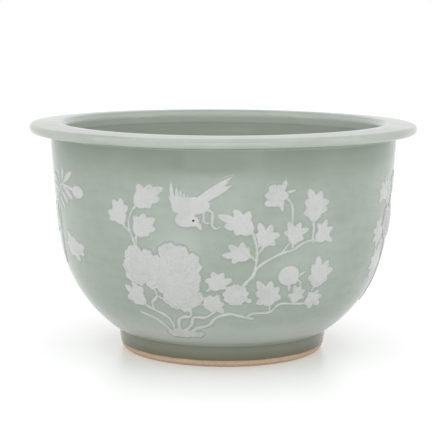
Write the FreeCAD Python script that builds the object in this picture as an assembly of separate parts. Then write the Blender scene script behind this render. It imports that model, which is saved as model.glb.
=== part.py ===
"""Celadon jardiniere: a wide round porcelain planter with white slip relief.

The thrown bowl, the flanged rim and the foot ring are turned about Z and luted face to
face. The relief is laid on the outside of the bowl's wall: each motif is drawn flat, as
seen straight on from outside, carried in square to that view and kept where it passes
through a thin coat on the wall, so that every piece hugs the curve of the bowl.

Frame: origin on the surface that the foot stands on, at the centre; +Z up; the front of
the decoration faces -Y, and +X is to the right of it.
"""
import FreeCAD
import Part
import math
import os
from collections import namedtuple

# ------------------------------------------------------------ driving sizes (mm, degrees)
HEIGHT = 213.5              # from the ground to the crown of the rim
WALL = 13.5                 # thickness of the bowl's wall
FLOOR = 12.0                # thickness of the bowl's floor
FLOOR_FILLET = 22.0         # hollow curve between the wall's inside and the floor

NECK_RADIUS = 160.8         # outside of the wall where it meets the rim
NECK_LEAN = 2.4             # how far the wall leans out there
BELLY_HEIGHT = 108.0        # where the upright wall turns into the round below it
BELLY_LEAN = 7.1            # how far the wall leans out there
ROUND_RADIUS = 125.0        # radius of the round that runs down to the foot

RIM_REACH = 19.2            # how far the flanged rim stands out from the wall all round
RIM_HEIGHT = 14.0           # from the wall's top to the crown of the rim
RIM_FALL = 1.4              # drop of the rim's top from its crown, over the wall, to its lip
CROWN_ROUND = 60.0          # rounding of that crown
LIP_THICKNESS = 7.8         # of the rim at its outer edge
LIP_ROUND = 3.7             # rounding of both edges of the lip
MOUTH_ROUND = 6.5           # rounding of the rim's inner edge
COVE_HEIGHT = 3.2           # of the cove under the rim
COVE_ROUND = 3.0            # rounding in that cove

FOOT_HEIGHT = 19.0          # of the foot ring, and so of the hollow under the base
FOOT_TAPER = 2.6            # how far its outside draws in towards the ground
FOOT_ROUND = 6.0            # rounding of its outer bottom edge
FOOT_WIDTH = 15.0           # of the ring where the bowl sits on it
FOOT_INNER_TAPER = 2.0      # how far its inside draws in towards the ground
FOOT_INNER_ROUND = 3.0      # rounding of its inner bottom edge

# ------------------------------------------------------------ relief sizes (mm)
GIRTH_RADIUS = 155.0        # places round the wall are measured on a circle of this radius
LEAF_COAT = 0.8             # how far each kind of motif stands out from the wall
STEM_COAT = 0.9
PETAL_COAT = 1.0
BIRD_COAT = 1.2
HEART_COAT = 1.8
EYE_COAT = 1.8
EYE_RADIUS = 1.1

NOTCH_REACH = 0.68          # how far out the notches between a leaf's lobes lie, as a share
LOBE_BULGE = 0.07           # bulge of a lobe's sides, as a share of their length
HEEL_BULGE = 0.22           # the same for the sides that run down to the stalk
SIDE_LOSS = 0.36            # how much shorter a leaf's outermost lobes are
HEART_SHARE = 0.58          # size of the raised heart of a blossom, as a share of the whole

FRONT_TURN = 0.0            # turn of each spray's middle from the front of the bowl
RIGHT_TURN = 72.0
BACK_TURN = 180.0
LEFT_TURN = -65.0

# All places on the wall are (girth, rise): how far round it from the spray's middle, and
# how far up it from the foot ring.
# A leaf starts at its stalk and points to a heading; its lobes fan to half_fan either side.
Leaf = namedtuple("Leaf", "girth rise heading length half_fan lobes")
# A blossom is a ring of round petals about its middle; scallop is how deep they part.
Blossom = namedtuple("Blossom", "girth rise half_width half_height petals scallop")
# A stem runs along points, and its width goes from the first value to the last.
Stem = namedtuple("Stem", "first_width last_width points")
# A blade is a narrow pointed shape from its root to its tip.
Blade = namedtuple("Blade", "root tip width")
# A mound is a lumpy patch: every second one of its points is the crest of a lump.
Mound = namedtuple("Mound", "points")
# A relief piece is one node: its shapes share a coat, and raised ones are thicker hearts.
Relief = namedtuple("Relief", "node coat shapes raised")


# ------------------------------------------------------------ the wall's curve
def on_arc(centre, radius, lean):
    """Point of the wall's section, on an arc, where the wall leans out by an angle."""
    return (centre[0] + radius * math.cos(lean), centre[1] - radius * math.sin(lean))


RIM_RADIUS = NECK_RADIUS + RIM_REACH
NECK_Z = HEIGHT - RIM_HEIGHT
NECK_ANGLE = math.radians(NECK_LEAN)
BELLY_ANGLE = math.radians(BELLY_LEAN)
# The upright wall bows slightly between its two leans, on an arc of this radius.
WALL_SWEEP = (NECK_Z - BELLY_HEIGHT) / (math.sin(BELLY_ANGLE) - math.sin(NECK_ANGLE))
SWEEP_CENTRE = (NECK_RADIUS - WALL_SWEEP * math.cos(NECK_ANGLE),
                NECK_Z + WALL_SWEEP * math.sin(NECK_ANGLE))
MOUTH_ANGLE = math.asin((SWEEP_CENTRE[1] - NECK_Z) / (WALL_SWEEP - WALL))
MOUTH_RADIUS = on_arc(SWEEP_CENTRE, WALL_SWEEP - WALL, MOUTH_ANGLE)[0]
ROUND_CENTRE = on_arc(SWEEP_CENTRE, WALL_SWEEP - ROUND_RADIUS, BELLY_ANGLE)
FOOT_ANGLE = math.asin((ROUND_CENTRE[1] - FOOT_HEIGHT) / ROUND_RADIUS)
FOOT_RADIUS = on_arc(ROUND_CENTRE, ROUND_RADIUS, FOOT_ANGLE)[0]
ROUND_LENGTH = ROUND_RADIUS * (FOOT_ANGLE - BELLY_ANGLE)


def wall_point(rise):
    """Radius and height of the wall's outside, at a distance up it from the foot ring."""
    if rise < ROUND_LENGTH:
        return on_arc(ROUND_CENTRE, ROUND_RADIUS, FOOT_ANGLE - rise / ROUND_RADIUS)
    return on_arc(SWEEP_CENTRE, WALL_SWEEP, BELLY_ANGLE - (rise - ROUND_LENGTH) / WALL_SWEEP)


# ------------------------------------------------------------ turned sections
def section_point(point):
    return FreeCAD.Vector(point[0], 0, point[1])


def line_between(start, end):
    return Part.LineSegment(section_point(start), section_point(end)).toShape()


def wall_arc(centre, radius, first, last):
    """Edge of the section, along an arc of the wall between two angles of lean."""
    points = [section_point(on_arc(centre, radius, angle))
              for angle in (first, (first + last) / 2, last)]
    return Part.Arc(*points).toShape()


def turned(edges):
    """Solid turned about Z from the edges of its section, in order round it."""
    face = Part.Face(Part.Wire(edges))
    return face.revolve(FreeCAD.Vector(0, 0, 0), FreeCAD.Vector(0, 0, 1), 360)


def rounded_section(corners):
    """Edges, in order, of a closed section with (radius, height, rounding) corners."""
    arcs = []
    for index, (radius, height, rounding) in enumerate(corners):
        here = section_point((radius, height))
        if not rounding:
            arcs.append([here])
            continue
        before = section_point(corners[index - 1]) - here
        after = section_point(corners[(index + 1) % len(corners)]) - here
        half_angle = before.getAngle(after) / 2
        before.normalize()
        after.normalize()
        inward = (before + after).normalize()
        setback = rounding / math.tan(half_angle)
        crest = here + inward * (rounding / math.sin(half_angle) - rounding)
        arcs.append([here + before * setback, crest, here + after * setback])
    edges = []
    for index, points in enumerate(arcs):
        edges.append(Part.LineSegment(arcs[index - 1][-1], points[0]).toShape())
        if len(points) > 1:
            edges.append(Part.Arc(*points).toShape())
    return edges


# ------------------------------------------------------------ bowl, rim and foot ring
def make_bowl():
    inner_sweep = WALL_SWEEP - WALL
    inner_round = ROUND_RADIUS - WALL
    floor_z = FOOT_HEIGHT + FLOOR
    fillet_path = inner_round - FLOOR_FILLET
    fillet_angle = math.asin((ROUND_CENTRE[1] - floor_z - FLOOR_FILLET) / fillet_path)
    fillet_centre = on_arc(ROUND_CENTRE, fillet_path, fillet_angle)
    return turned([
        line_between((0, FOOT_HEIGHT), (FOOT_RADIUS, FOOT_HEIGHT)),
        wall_arc(ROUND_CENTRE, ROUND_RADIUS, FOOT_ANGLE, BELLY_ANGLE),
        wall_arc(SWEEP_CENTRE, WALL_SWEEP, BELLY_ANGLE, NECK_ANGLE),
        line_between((NECK_RADIUS, NECK_Z), (MOUTH_RADIUS, NECK_Z)),
        wall_arc(SWEEP_CENTRE, inner_sweep, MOUTH_ANGLE, BELLY_ANGLE),
        wall_arc(ROUND_CENTRE, inner_round, BELLY_ANGLE, fillet_angle),
        wall_arc(fillet_centre, FLOOR_FILLET, fillet_angle, math.pi / 2),
        line_between((fillet_centre[0], floor_z), (0, floor_z)),
        line_between((0, floor_z), (0, FOOT_HEIGHT)),
    ])


def make_rim():
    lip_z = HEIGHT - RIM_FALL
    return turned(rounded_section([
        (MOUTH_RADIUS, NECK_Z, 0),
        (NECK_RADIUS, NECK_Z, 0),
        (NECK_RADIUS, NECK_Z + COVE_HEIGHT, COVE_ROUND),
        (RIM_RADIUS, lip_z - LIP_THICKNESS, LIP_ROUND),
        (RIM_RADIUS, lip_z, LIP_ROUND),
        (NECK_RADIUS, HEIGHT, CROWN_ROUND),
        (MOUTH_RADIUS, HEIGHT, MOUTH_ROUND),
    ]))


def make_foot_ring():
    inner_radius = FOOT_RADIUS - FOOT_WIDTH
    return turned(rounded_section([
        (inner_radius, FOOT_HEIGHT, 0),
        (inner_radius - FOOT_INNER_TAPER, 0, FOOT_INNER_ROUND),
        (FOOT_RADIUS - FOOT_TAPER, 0, FOOT_ROUND),
        (FOOT_RADIUS, FOOT_HEIGHT, 0),
    ]))


# ------------------------------------------------------------ outlines of the motifs
# An outline is a start point and a list of spans, anticlockwise: (via, end) swells out to
# via on its way to the end, and (None, end) goes straight there. Both are cut in facets.
def from_base(base, heading, reach):
    """Point at a reach from a base, along a heading in degrees from the horizontal."""
    angle = math.radians(heading)
    return (base[0] + reach * math.cos(angle), base[1] + reach * math.sin(angle))


def arched(start, end, bulge):
    """Span that swells out to its right by a share of its length."""
    via = ((start[0] + end[0]) / 2 + bulge * (end[1] - start[1]),
           (start[1] + end[1]) / 2 - bulge * (end[0] - start[0]))
    return via, end


def leaf_outline(leaf):
    """A fan of pointed lobes with swelling sides, drawn in to the stalk."""
    base = (leaf.girth, leaf.rise)
    spacing = 2 * leaf.half_fan / (leaf.lobes - 1)

    def edge_point(step, share):
        turn = step * spacing - leaf.half_fan
        sideways = min(abs(turn) / leaf.half_fan, 1)
        reach = leaf.length * (1 - SIDE_LOSS * sideways ** 2)
        return from_base(base, leaf.heading + turn, reach * share)

    notch = edge_point(-0.5, NOTCH_REACH)
    spans = [arched(base, notch, HEEL_BULGE)]
    for lobe in range(leaf.lobes):
        tip = edge_point(lobe, 1)
        next_notch = edge_point(lobe + 0.5, NOTCH_REACH)
        spans += [arched(notch, tip, LOBE_BULGE), arched(tip, next_notch, LOBE_BULGE)]
        notch = next_notch
    spans.append(arched(notch, base, HEEL_BULGE))
    return base, spans


def blossom_outline(blossom, share=1.0):
    """A ring of petals: each goes from notch to notch over its crest."""
    def ring_point(petal, reach):
        angle = 2 * math.pi * petal / blossom.petals
        return (blossom.girth + blossom.half_width * share * reach * math.cos(angle),
                blossom.rise + blossom.half_height * share * reach * math.sin(angle))

    notch = 1 - blossom.scallop
    spans = [(ring_point(petal, 1), ring_point(petal + 0.5, notch))
             for petal in range(blossom.petals)]
    return ring_point(-0.5, notch), spans


def stem_outline(stem):
    """A strip along the stem's points, tapering from its first width to its last."""
    right = []
    left = []
    last = len(stem.points) - 1
    for index, (girth, rise) in enumerate(stem.points):
        before = stem.points[max(index - 1, 0)]
        after = stem.points[min(index + 1, last)]
        length = math.dist(before, after)
        half = (stem.first_width + (stem.last_width - stem.first_width) * index / last) / 2
        aside = (half * (after[1] - before[1]) / length, half * (before[0] - after[0]) / length)
        right.append((girth + aside[0], rise + aside[1]))
        left.append((girth - aside[0], rise - aside[1]))
    ring = right + left[::-1]
    return ring[0], [(None, point) for point in ring[1:] + ring[:1]]


def blade_outline(blade):
    """Two swelling sides that meet in a point at the root and at the tip."""
    bulge = blade.width / 2 / math.dist(blade.root, blade.tip)
    return blade.root, [arched(blade.root, blade.tip, bulge),
                        arched(blade.tip, blade.root, bulge)]


def mound_outline(mound):
    return mound.points[0], list(zip(mound.points[1::2], mound.points[2::2]))


OUTLINES = {Leaf: leaf_outline, Blossom: blossom_outline, Stem: stem_outline,
            Blade: blade_outline, Mound: mound_outline}


# ------------------------------------------------------------ the sprays
# In each spray, a relief piece lies on those that come after it.
def main_spray():
    """The bird, the peonies, and the branches that rise from the rockwork."""
    return [
        Relief("bird_eye", EYE_COAT, [Blossom(-24.7, 143.3, EYE_RADIUS, EYE_RADIUS, 6, 0)], []),
        Relief("bird", BIRD_COAT, [
            Blossom(-24, 154.5, 13.5, 8, 8, 0),              # body
            Blossom(-33, 156, 9, 7, 7, 0),                   # wing
            Blossom(-29.5, 143.5, 10.5, 6.5, 7, 0),          # head and breast
            Blade((-24, 144), (-17.5, 135), 5),              # beak
            Blade((-41, 150), (-43, 175), 7),                # wing feathers
            Blade((-33, 148), (-38.5, 171), 7),
            Blade((-29, 150), (-35, 169), 6),
            Blade((-26, 152), (-31, 167), 6),
            Blade((-36, 150), (-38, 164), 9),
            Blade((-26, 152), (7.5, 181), 7),                # tail feathers
            Blade((-22, 156), (6, 174.5), 6),
            Stem(2, 1.4, [(-16, 149), (-16, 142), (-12, 140.5)]),
            Stem(2.2, 1.6, [(-13, 152), (-8.5, 149), (-9, 139), (-3, 137)]),
        ], []),
        Relief("peony_lower", PETAL_COAT, [Blossom(-38, 77.5, 19, 17.5, 9, 0.08)],
               [Blossom(-38, 79, 19, 17.5, 9, 0.1)]),
        Relief("peony_left", PETAL_COAT, [Blossom(-73, 100, 21, 18, 10, 0.07)],
               [Blossom(-73, 101, 21, 18, 10, 0.1)]),
        Relief("peony_right", PETAL_COAT, [Blossom(-38.5, 105, 20.5, 18.5, 10, 0.07)],
               [Blossom(-39, 107, 20.5, 18.5, 10, 0.1)]),
        Relief("open_blossom", PETAL_COAT, [
            Blossom(44.5, 165, 10.5, 11, 5, 0.22),
            Blade((48, 160), (50, 149.5), 5),
            Blade((52, 166), (61.5, 167.5), 3.5),
        ], [Blossom(44.5, 165, 9, 9, 5, 0.2)]),
        Relief("round_bud", PETAL_COAT, [
            Blossom(60.3, 92.5, 9.8, 9.5, 8, 0),
            Blade((61, 86), (62.5, 77.5), 4),
            Blade((67, 91), (76, 95.5), 3.5),
        ], [Blossom(60.3, 92.5, 9.8, 9.5, 8, 0)]),
        Relief("twig_leaves", LEAF_COAT, [
            Leaf(-79.5, 149, 39, 35, 38, 5),
            Leaf(-87.5, 133, 116, 26, 44, 5),
            Leaf(-77, 124, 54, 25.5, 46, 5),
        ], []),
        Relief("middle_leaves", LEAF_COAT, [
            Leaf(27, 129, 137, 35, 38, 5),
            Leaf(30, 118.5, 52, 25, 46, 5),
            Leaf(25.5, 111, 160, 26, 42, 5),
        ], []),
        Relief("right_leaves", LEAF_COAT, [
            Leaf(60.5, 118, 80, 23, 48, 5),
            Leaf(80, 136, 84, 34, 36, 5),
            Leaf(80, 122, 33, 25, 42, 5),
        ], []),
        Relief("far_right_leaves", LEAF_COAT, [
            Leaf(86.5, 76, 68, 33, 40, 6),
            Leaf(80.5, 63, 18, 22, 44, 5),
            Leaf(70, 64, 82, 19.5, 48, 5),
        ], []),
        Relief("low_right_leaf", LEAF_COAT, [Leaf(46, 60.5, 104, 30.5, 44, 5)], []),
        Relief("low_middle_leaves", LEAF_COAT, [
            Leaf(-12, 80, 48, 23.5, 44, 5),
            Blossom(12.5, 75.5, 12.5, 10.5, 8, 0.1),
            Leaf(-19, 65, 2, 21, 44, 4),
        ], []),
        Relief("low_left_leaf", LEAF_COAT, [Leaf(-76, 58, 117, 29, 42, 5)], []),
        Relief("rockwork", PETAL_COAT, [Mound([
            (-66, 27), (-62, 33), (-55, 31.5), (-48, 34), (-40, 31.5), (-31, 34.5), (-25, 31),
            (-17, 29.5), (-22, 23), (-30, 20.5), (-37, 22.5), (-47, 18.5), (-56, 22),
            (-64, 20.5), (-66, 27),
        ])], []),
        Relief("twig", STEM_COAT, [
            Stem(2.2, 1.6, [(-79, 115), (-79.5, 121), (-83, 130), (-83.5, 140), (-79, 150)]),
            Stem(1.8, 1.4, [(-83, 130), (-88, 134)]),
            Stem(1.8, 1.4, [(-78, 116), (-76.5, 125)]),
        ], []),
        Relief("upper_branch", STEM_COAT, [
            Stem(3, 2, [(17, 83), (22, 89), (27, 95), (29, 107), (29, 118), (26, 130)]),
            Stem(2.2, 2, [(29, 100), (36, 106), (50, 113), (61, 116), (71, 121.5), (81, 124)]),
            Stem(1.8, 1.8, [(51, 113), (57, 121)]),
            Stem(1.6, 1.6, [(29, 112), (35, 120)]),
            Stem(1.6, 1.6, [(29, 107), (24, 112)]),
            Stem(2, 2, [(80, 123), (80.5, 138)]),
        ], []),
        Relief("blossom_stalk", STEM_COAT,
               [Stem(1.8, 1.8, [(59.5, 137), (59, 152), (56, 159), (51, 162)])], []),
        Relief("bud_stalk", STEM_COAT,
               [Stem(1.6, 1.6, [(66, 90), (72, 86), (73.5, 76)])], []),
        Relief("lower_branch", STEM_COAT, [
            Stem(3.6, 2.6, [(-35, 30), (-28, 35.5), (-14, 41), (-7, 50), (6, 55), (16, 53),
                            (31, 48.5)]),
            Stem(2.4, 2, [(24, 50.5), (30, 55), (47, 56), (55, 64.5), (68, 64), (82, 63)]),
            Stem(2, 2, [(46, 62), (47, 56)]),
        ], []),
        Relief("main_stems", STEM_COAT, [
            Stem(3.4, 2.2, [(-54, 30), (-53.5, 40), (-57, 49), (-67, 55), (-76, 60)]),
            Stem(2.2, 1.6, [(-69, 56), (-69.5, 64), (-63, 71), (-62, 84)]),
            Stem(4, 2.6, [(-59, 30), (-68, 42), (-75, 47), (-87, 51.5)]),
            Stem(3.4, 2.2, [(-47, 30), (-46, 44), (-40, 50), (-32, 51.5), (-31, 62)]),
            Stem(3.4, 2.2, [(-43, 30), (-33, 40), (-29, 50), (-17, 50.5), (-7, 58)]),
        ], []),
    ]


def left_spray():
    """A bud and narrow leaves over a broad leaf, as the left edge of the bowl shows them."""
    fork = (-1, 163)
    narrow_leaves = [Blade(from_base(fork, heading, 3), from_base(fork, heading, 24), 4.6)
                     for heading in (34, 62, 90, 118, 146, 174, 202, 230, 286, 314, 340)]
    return [
        Relief("left_bud", PETAL_COAT, [Blossom(27, 162, 9, 6, 7, 0),
                                        Blade(fork, (24, 162), 4)], []),
        Relief("left_broad_leaves", LEAF_COAT, [
            Leaf(-10, 116, -8, 38, 38, 5),
            Leaf(-15, 122, 160, 32, 42, 5),
        ], []),
        Relief("left_narrow_leaves", LEAF_COAT, narrow_leaves, []),
        Relief("left_twig", STEM_COAT, [
            Stem(3, 2, [(-20, 88), (-14, 105), (-11, 130), (-1, 163)]),
        ], []),
    ]


def right_spray():
    """A peony among leaves; the right edge of the bowl shows the tips of the leaves."""
    return [
        Relief("right_peony", PETAL_COAT, [Blossom(7, 128, 17, 15, 9, 0.08)],
               [Blossom(7, 129, 17, 15, 9, 0.1)]),
        Relief("right_spray_leaves", LEAF_COAT, [
            Leaf(-10, 148, 126, 26, 42, 5),
            Leaf(-9, 119, 170, 26, 42, 5),
            Leaf(1, 90, 168, 31, 42, 5),
            Leaf(12, 150, 62, 26, 42, 5),
        ], []),
        Relief("right_twig", STEM_COAT, [
            Stem(3.4, 2, [(11, 48), (6, 70), (2, 92), (5, 117)]),
            Stem(2.2, 2, [(2, 139), (-10, 149)]),
            Stem(2.2, 2, [(9, 139), (12, 151)]),
        ], []),
    ]


# ------------------------------------------------------------ laying the relief on
def flat_point(place):
    """A place on the wall, seen straight on from its spray's middle."""
    radius, height = wall_point(place[1])
    return FreeCAD.Vector(radius * math.sin(place[0] / GIRTH_RADIUS), 0, height)


def flat_face(outlines):
    """Face, in the plane of the view, of some outlines joined together."""
    faces = []
    for start, spans in outlines:
        corners = [start]
        for via, end in spans:
            corners += [via, end] if via else [end]
        faces.append(Part.Face(Part.makePolygon([flat_point(corner) for corner in corners])))
    return faces[0].fuse(faces[1:]).removeSplitter() if len(faces) > 1 else faces[0]


def coat_on_wall(thickness):
    """What lies on the wall's outside within a thickness of it, on the side that shows."""
    round_out = ROUND_RADIUS + thickness
    sweep_out = WALL_SWEEP + thickness
    section = Part.Face(Part.Wire([
        wall_arc(ROUND_CENTRE, ROUND_RADIUS, FOOT_ANGLE, BELLY_ANGLE),
        wall_arc(SWEEP_CENTRE, WALL_SWEEP, BELLY_ANGLE, NECK_ANGLE),
        line_between((NECK_RADIUS, NECK_Z), on_arc(SWEEP_CENTRE, sweep_out, NECK_ANGLE)),
        wall_arc(SWEEP_CENTRE, sweep_out, NECK_ANGLE, BELLY_ANGLE),
        wall_arc(ROUND_CENTRE, round_out, BELLY_ANGLE, FOOT_ANGLE),
        line_between(on_arc(ROUND_CENTRE, round_out, FOOT_ANGLE), (FOOT_RADIUS, FOOT_HEIGHT)),
    ]))
    return section.revolve(FreeCAD.Vector(0, 0, 0), FreeCAD.Vector(0, 0, 1), -180)


def lay_on(reliefs):
    """Solids of a spray that faces -Y, each cut away where an earlier one lies on it."""
    outside = FreeCAD.Vector(0, -RIM_RADIUS, 0)

    def kept_in_coat(face, thickness):
        if thickness not in coats:
            coats[thickness] = coat_on_wall(thickness)
        return face.extrude(outside).common(coats[thickness])

    coats = {}
    above = []
    solids = {}
    for relief in reliefs:
        face = flat_face([OUTLINES[type(shape)](shape) for shape in relief.shapes])
        visible = face.cut(above) if above else face
        above.append(face)
        solid = kept_in_coat(visible, relief.coat)
        for blossom in relief.raised:
            heart = flat_face([blossom_outline(blossom, HEART_SHARE)])
            solid = solid.fuse(kept_in_coat(heart.common(visible), HEART_COAT))
        solids[relief.node] = solid
    return solids


# ------------------------------------------------------------ the parts
def turned_copy(solid, turn):
    copy = solid.copy()
    copy.rotate(FreeCAD.Vector(0, 0, 0), FreeCAD.Vector(0, 0, 1), turn)
    return copy


def all_parts():
    """Every node's solid, by its name."""
    parts = {"bowl": make_bowl(), "rim": make_rim(), "foot_ring": make_foot_ring()}
    for node, solid in lay_on(main_spray()).items():
        parts["front_" + node] = turned_copy(solid, FRONT_TURN)
        parts["back_" + node] = turned_copy(solid, BACK_TURN)
    for spray, turn in ((left_spray(), LEFT_TURN), (right_spray(), RIGHT_TURN)):
        for node, solid in lay_on(spray).items():
            parts[node] = turned_copy(solid, turn)
    return parts


os.makedirs("parts", exist_ok=True)
for node, solid in all_parts().items():
    solid.exportStep(os.path.join("parts", node + ".step"))
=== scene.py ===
"""Celadon jardiniere with white slip relief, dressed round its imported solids.

The bowl, the flanged rim and the foot ring are turned as fine surfaces under one seamless
glaze. Each motif of the relief is one fine grid laid on the wall: its height comes from the
brush strokes that a decorator would lay down in slip, and it ends in a thin run of glaze
that sinks into the wall.

Places on the wall are (girth, rise) in millimetres: how far round it from the middle of a
spray, measured at GIRTH_RADIUS, and how far up it from RISE_START below the wall's foot.
"""
import math
from collections import namedtuple

import bpy
import numpy as np
from mathutils import Matrix


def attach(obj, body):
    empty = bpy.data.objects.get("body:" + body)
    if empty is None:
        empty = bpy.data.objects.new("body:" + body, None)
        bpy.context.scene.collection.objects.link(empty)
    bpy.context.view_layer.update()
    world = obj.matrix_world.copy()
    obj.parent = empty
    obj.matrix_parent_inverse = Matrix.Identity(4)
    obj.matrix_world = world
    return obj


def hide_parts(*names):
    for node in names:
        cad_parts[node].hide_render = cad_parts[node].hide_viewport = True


bl_info = {
    "name": "Celadon Jardiniere",
    "version": (1, 0, 0),
    "blender": (4, 5, 0),
    "location": "View3D > Sidebar > Jardiniere",
    "description": "Turns a glazed jardiniere and lays its white slip relief on it",
    "category": "Object",
}

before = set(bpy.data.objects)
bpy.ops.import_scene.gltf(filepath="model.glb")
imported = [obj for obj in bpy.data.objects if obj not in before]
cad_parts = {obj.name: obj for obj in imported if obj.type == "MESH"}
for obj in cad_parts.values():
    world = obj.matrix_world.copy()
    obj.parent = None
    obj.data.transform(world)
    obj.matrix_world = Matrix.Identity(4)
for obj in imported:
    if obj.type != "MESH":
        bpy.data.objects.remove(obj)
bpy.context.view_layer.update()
MM = 0.001
GIRTH_RADIUS = 155.0
RISE_START = 1.6
SPRAY_TURNS = {"front": 0.0, "right": 72.0, "back": 180.0, "left": -65.0}
AROUND = 480
SHARP_ANGLE = math.radians(50)
FAR_OUTSIDE = -1e3
EYE_GIRTH, EYE_RISE, EYE_RADIUS = -24.7, 142.8, 1.15
GLAZE_ROUGHNESS, CLAY_ROUGHNESS, GLAZE_IOR = 0.16, 0.85, 1.5
SENSOR_WIDTH = 36.0
WHITE = (1.0, 1.0, 1.0, 1.0)


# ------------------------------------------------------------------ sizes and colours
def kind(make, **settings):
    def declare(name, description, default):
        return make(name=name, description=description, default=default, **settings)
    return declare


length = kind(bpy.props.FloatProperty, min=0.0, subtype="DISTANCE", unit="LENGTH", precision=5)
share = kind(bpy.props.FloatProperty, min=0.0, max=1.0, subtype="FACTOR")
lamp = kind(bpy.props.FloatProperty, min=0.0, unit="POWER")
colour = kind(bpy.props.FloatVectorProperty, min=0.0, max=1.0, size=3, subtype="COLOR")
tilt_angle = kind(bpy.props.FloatProperty, subtype="ANGLE", unit="ROTATION")
focal = kind(bpy.props.FloatProperty, min=1.0, subtype="DISTANCE_CAMERA", unit="CAMERA")


class JardiniereVessel(bpy.types.PropertyGroup):
    """Sizes of the turned bowl, rim and foot ring."""

    height: length("Height", "From the ground to the crown of the rim", 0.2135)
    wall: length("Wall", "Thickness of the bowl's wall", 0.0135)
    base: length("Floor", "Thickness of the bowl's floor", 0.012)
    floor_fillet: length("Floor fillet", "Hollow curve from the wall to the floor", 0.022)
    neck_radius: length("Neck radius", "Outside of the wall under the rim", 0.1608)
    belly_height: length("Belly height", "Where the upright wall turns into the round", 0.108)
    round_radius: length("Round radius", "Radius of the round down to the foot", 0.125)
    rim_reach: length("Rim reach", "How far the rim stands out from the wall", 0.0192)
    rim_height: length("Rim height", "From the wall's top to the rim's crown", 0.014)
    lip: length("Lip thickness", "Thickness of the rim at its outer edge", 0.0078)
    foot_height: length("Foot height", "Height of the foot ring", 0.019)
    foot_width: length("Foot width", "Width of the foot ring under the bowl", 0.015)
    slump: length("Slump", "How far the rim has sunk at the front left", 0.0016)
    unevenness: length("Unevenness", "How far the thrown form strays from true", 0.0002)


class JardiniereRelief(bpy.types.PropertyGroup):
    """Sizes of the slip relief."""

    grid: length("Grid", "Spacing of the grid that a motif is worked out on", 0.00045)
    edge_round: length("Edge round", "How wide the rounded edge of the slip is", 0.0011)
    leaf: length("Leaf thickness", "How thick the leaves stand on the wall", 0.0008)
    stem: length("Stem thickness", "How thick the stems stand on the wall", 0.0007)
    petal: length("Petal thickness", "How thick the lowest petals stand", 0.0009)
    bird: length("Bird thickness", "How thick the bird stands on the wall", 0.0011)
    pool_width: length("Pool width", "How far the pooled glaze runs out round a motif", 0.0026)
    pool_height: length("Pool height", "How thick the pooled glaze is at a motif", 0.00007)


class JardiniereColours(bpy.types.PropertyGroup):
    """Colours of the glaze, the slip and the clay."""

    glaze: colour("Glaze", "Celadon glaze on the wall", (0.342, 0.390, 0.345))
    # The thick glaze colour also paints shade under the rim, in its cove and by the foot.
    glaze_deep_and_shade: colour("Thick glaze", "Celadon where it lies thick or pools", (0.215, 0.258, 0.208))
    # The thin glaze colour also paints light: a highlight on the lip and the mouth, and floor light
    # low on the round.
    glaze_thin_and_lit: colour("Thin glaze", "Celadon where it runs thin over an edge",
                       (0.520, 0.545, 0.500))
    # The foot glaze is darker partly as painted shade under the bowl's belly.
    foot_glaze_and_shade: colour("Foot glaze", "Celadon where the clay of the foot shows through it",
                       (0.128, 0.120, 0.072))
    slip: colour("Slip", "White slip under the glaze", (0.505, 0.510, 0.498))
    slip_thin: colour("Thin slip", "Slip where it is brushed out thin", (0.400, 0.440, 0.398))
    clay: colour("Clay", "Bare fired clay at the foot", (0.60, 0.46, 0.325))
    clay_dark: colour("Scorched clay", "Clay flashed in the firing by the glaze line",
                      (0.46, 0.31, 0.19))
    iron: colour("Iron", "Iron black of the bird's eye", (0.012, 0.011, 0.010))


class JardiniereStage(bpy.types.PropertyGroup):
    """The floor, the lamps and the camera."""

    floor: colour("Floor", "Floor and backdrop", (0.92, 0.92, 0.92))
    lift: share("Floor lift", "Light that the floor adds for the camera alone", 0.17)
    ambient: share("Ambient", "Even light from all round", 0.95)
    top_lamp: lamp("Top lamp", "Soft lamp overhead", 3.5)
    front_lamp: lamp("Front lamp", "Wide soft lamp in front", 6.5)
    side_lamp: lamp("Side lamps", "Tall soft lamp at each side", 2.0)
    camera_distance: length("Camera distance", "From the bowl's axis to the camera", 1.392)
    camera_height: length("Camera height", "From the ground to the camera", 0.3152)
    camera_pitch: tilt_angle("Camera pitch", "How far the camera looks down",
                             math.radians(7.85))
    camera_yaw: tilt_angle("Camera yaw", "How far the camera looks to the left of the axis",
                           math.radians(0.27))
    camera_roll: tilt_angle("Camera roll", "How far the camera is turned about its own line",
                            math.radians(0.35))
    camera_lens: focal("Camera lens", "Focal length of the camera's lens", 124.2)


# ------------------------------------------------------------------ meshes
def mesh_object(name, vertices, faces):
    """Object of a smooth mesh from arrays of vertices, in metres, and of faces."""
    mesh = bpy.data.meshes.new(name)
    mesh.from_pydata(vertices, [], faces)
    mesh.shade_smooth()
    piece = bpy.data.objects.new(name, mesh)
    bpy.context.scene.collection.objects.link(piece)
    return piece


def about_axis(radius, turn, height):
    """Places at a radius and a height, turned about the bowl's axis from the front."""
    return np.stack([radius * np.sin(turn), -radius * np.cos(turn), height], -1)


def grid_corners(grid):
    """The four values at the corners of each cell of a grid, in order round the cell."""
    return np.stack([grid[:-1, :-1], grid[:-1, 1:], grid[1:, 1:], grid[1:, :-1]], -1)


def places_of(piece):
    """Vertices of a piece in millimetres."""
    place = np.empty(len(piece.data.vertices) * 3)
    piece.data.vertices.foreach_get("co", place)
    return place.reshape(-1, 3) / MM


def bell(value, width, middle=0.0):
    """1 at the middle, falling with the square of the distance to 1 / e at a width."""
    return np.exp(-((value - middle) / width) ** 2)


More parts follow.
